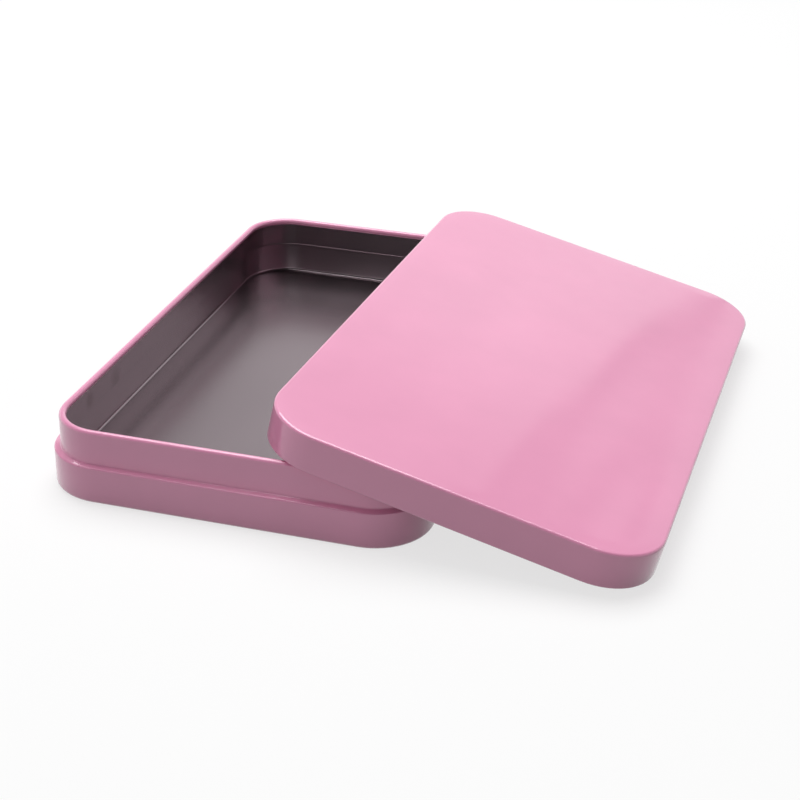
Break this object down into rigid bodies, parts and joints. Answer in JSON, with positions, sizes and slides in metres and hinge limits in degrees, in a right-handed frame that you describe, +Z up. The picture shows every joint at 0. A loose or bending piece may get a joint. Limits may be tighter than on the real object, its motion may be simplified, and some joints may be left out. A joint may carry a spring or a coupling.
{
  "type": "rectangular tin box",
  "caption": "Flat rectangular tin box with a stepped neck and rolled rim, its slip lid lying half across the open base.",
  "frame": {"origin": "middle of the base's flat bottom, on the surface it stands on", "axes": "+Z up, +Y along the base's long sides, +X across the base towards the side where the lid's edge reaches the table"},
  "size_m": [0.1233, 0.1263, 0.0234],
  "materials": {
    "pink_lacquer": "satin",
    "bare_tinplate": "satin"
  },
  "bodies": {
    "root": {"tin_base": "pink_lacquer", "tin_lid": "pink_lacquer"}
  },
  "joints": []
}
